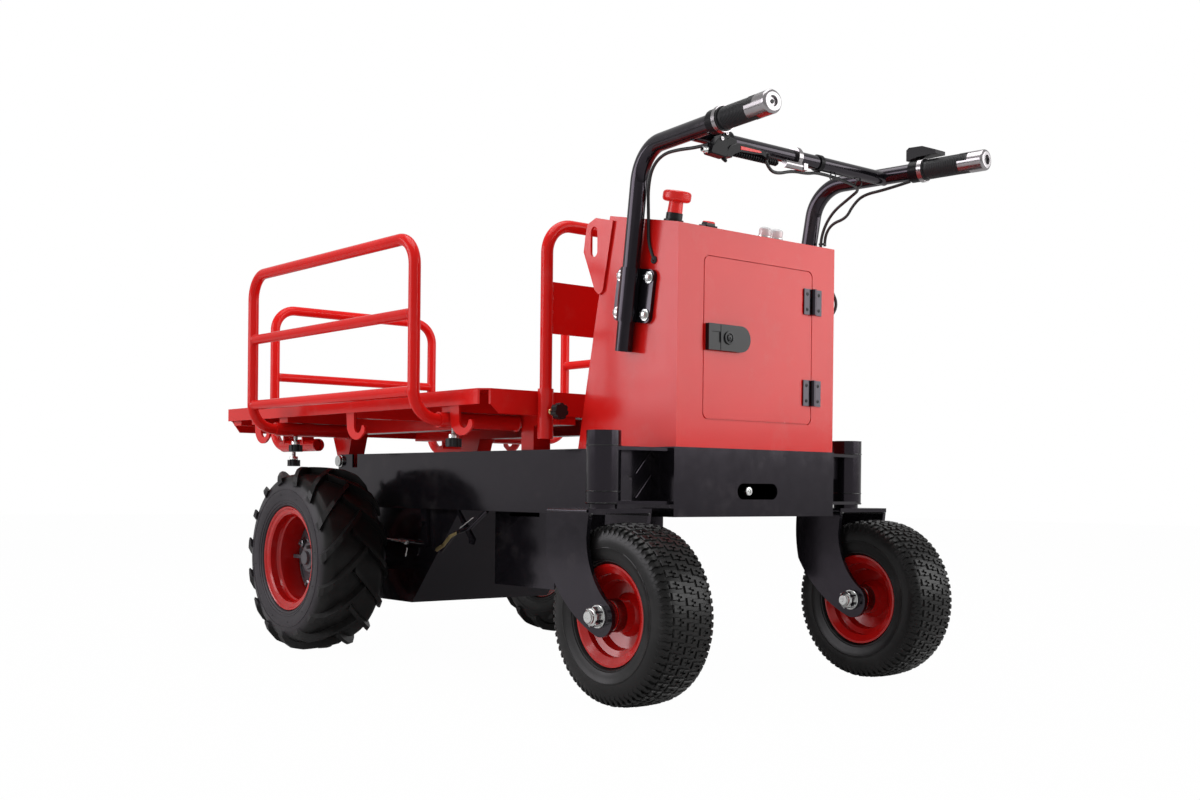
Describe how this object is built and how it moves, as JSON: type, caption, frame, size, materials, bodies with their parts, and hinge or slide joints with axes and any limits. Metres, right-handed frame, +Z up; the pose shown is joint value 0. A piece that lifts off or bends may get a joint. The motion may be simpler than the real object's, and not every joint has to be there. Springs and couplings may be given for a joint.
{
  "type": "site dumper",
  "caption": "Walk-behind electric site dumper: tipping rope-hook flat deck with slide-out rails, two driven lug-tyre wheels, two swivel casters, control cabinet and handlebars.",
  "frame": {"origin": "floor level, under the centre of the overall bounding box", "axes": "+X towards the loading (drive wheel) end, +Y towards the left wheels, +Z up"},
  "size_m": [1.8138, 0.946, 1.034],
  "materials": {
    "red_paint": "gloss",
    "black_paint": "gloss",
    "rim_red": "gloss",
    "tyre_rubber": "matte",
    "hub_grey": "satin",
    "bright_steel": "polished",
    "black_plastic": "matte",
    "grip_rubber": "matte",
    "red_plastic": "gloss"
  },
  "bodies": {
    "chassis": {"chassis_frame": "black_paint", "tip_pivot_pin": "bright_steel", "kingpin_arm_left": "black_paint", "kingpin_arm_right": "black_paint", "motor_housing": "black_paint", "battery_box": "black_paint", "drive_axle": "hub_grey", "control_box": "red_paint", "control_unit": "black_plastic", "door_hinges": "black_paint", "brake_linkage": "black_paint", "handle_clamps": "black_paint", "handle_trim": "bright_steel", "hand_controls": "black_plastic", "control_cables": "black_plastic", "handlebar_left": "black_paint", "handlebar_right": "black_paint", "handle_crossbar": "black_paint", "grip_left": "grip_rubber", "grip_right": "grip_rubber", "emergency_stop": "red_plastic", "dash_switches": "black_plastic"},
    "door": {"door_panel": "red_paint", "door_leaves": "black_paint", "door_latch": "black_plastic"},
    "deck": {"deck_floor": "red_paint", "deck_frame": "red_paint", "rail_receivers": "red_paint", "clamp_knobs": "black_plastic"},
    "headboard": {"headboard": "red_paint"},
    "side_rail_left": {"side_rail_left": "red_paint"},
    "side_rail_right": {"side_rail_right": "red_paint"},
    "front_rail": {"front_rail": "red_paint"},
    "caster_fork_left": {"caster_fork_left": "black_paint"},
    "caster_wheel_left": {"caster_rim_left": "rim_red", "caster_tyre_left": "tyre_rubber"},
    "drive_wheel_left": {"drive_rim_left": "rim_red", "drive_hub_left": "hub_grey", "drive_tyre_left": "tyre_rubber"},
    "caster_fork_right": {"caster_fork_right": "black_paint"},
    "caster_wheel_right": {"caster_rim_right": "rim_red", "caster_tyre_right": "tyre_rubber"},
    "drive_wheel_right": {"drive_rim_right": "rim_red", "drive_hub_right": "hub_grey", "drive_tyre_right": "tyre_rubber"}
  },
  "joints": [
    {"name": "deck_tip", "type": "hinge", "parent": "chassis", "child": "deck", "pos_m": [0.589, 0, 0.434], "axis": [0, 1, 0], "range_deg": [0, 45]},
    {"name": "door_hinge", "type": "hinge", "parent": "chassis", "child": "door", "pos_m": [-0.61405, -0.146, 0.563], "axis": [0, 0, 1], "range_deg": [0, 110]},
    {"name": "headboard_lift", "type": "slide", "parent": "deck", "child": "headboard", "axis": [0, 0, 1], "range_m": [0, 0.06]},
    {"name": "side_rail_left_slide", "type": "slide", "parent": "deck", "child": "side_rail_left", "axis": [0, 1, 0], "range_m": [0, 0.12]},
    {"name": "side_rail_right_slide", "type": "slide", "parent": "deck", "child": "side_rail_right", "axis": [0, -1, 0], "range_m": [0, 0.12]},
    {"name": "front_rail_slide", "type": "slide", "parent": "deck", "child": "front_rail", "axis": [1, 0, 0], "range_m": [0, 0.12]},
    {"name": "caster_swivel_left", "type": "hinge", "parent": "chassis", "child": "caster_fork_left", "pos_m": [-0.547, 0.327, 0.339], "axis": [0, 0, 1], "continuous": true},
    {"name": "caster_roll_left", "type": "hinge", "parent": "caster_fork_left", "child": "caster_wheel_left", "pos_m": [-0.624, 0.327, 0.158], "axis": [0, 1, 0], "continuous": true},
    {"name": "drive_roll_left", "type": "hinge", "parent": "chassis", "child": "drive_wheel_left", "pos_m": [0.439, 0.36, 0.208], "axis": [0, 1, 0], "continuous": true},
    {"name": "caster_swivel_right", "type": "hinge", "parent": "chassis", "child": "caster_fork_right", "pos_m": [-0.547, -0.327, 0.339], "axis": [0, 0, 1], "continuous": true},
    {"name": "caster_roll_right", "type": "hinge", "parent": "caster_fork_right", "child": "caster_wheel_right", "pos_m": [-0.624, -0.327, 0.158], "axis": [0, 1, 0], "continuous": true},
    {"name": "drive_roll_right", "type": "hinge", "parent": "chassis", "child": "drive_wheel_right", "pos_m": [0.439, -0.36, 0.208], "axis": [0, 1, 0], "continuous": true}
  ]
}
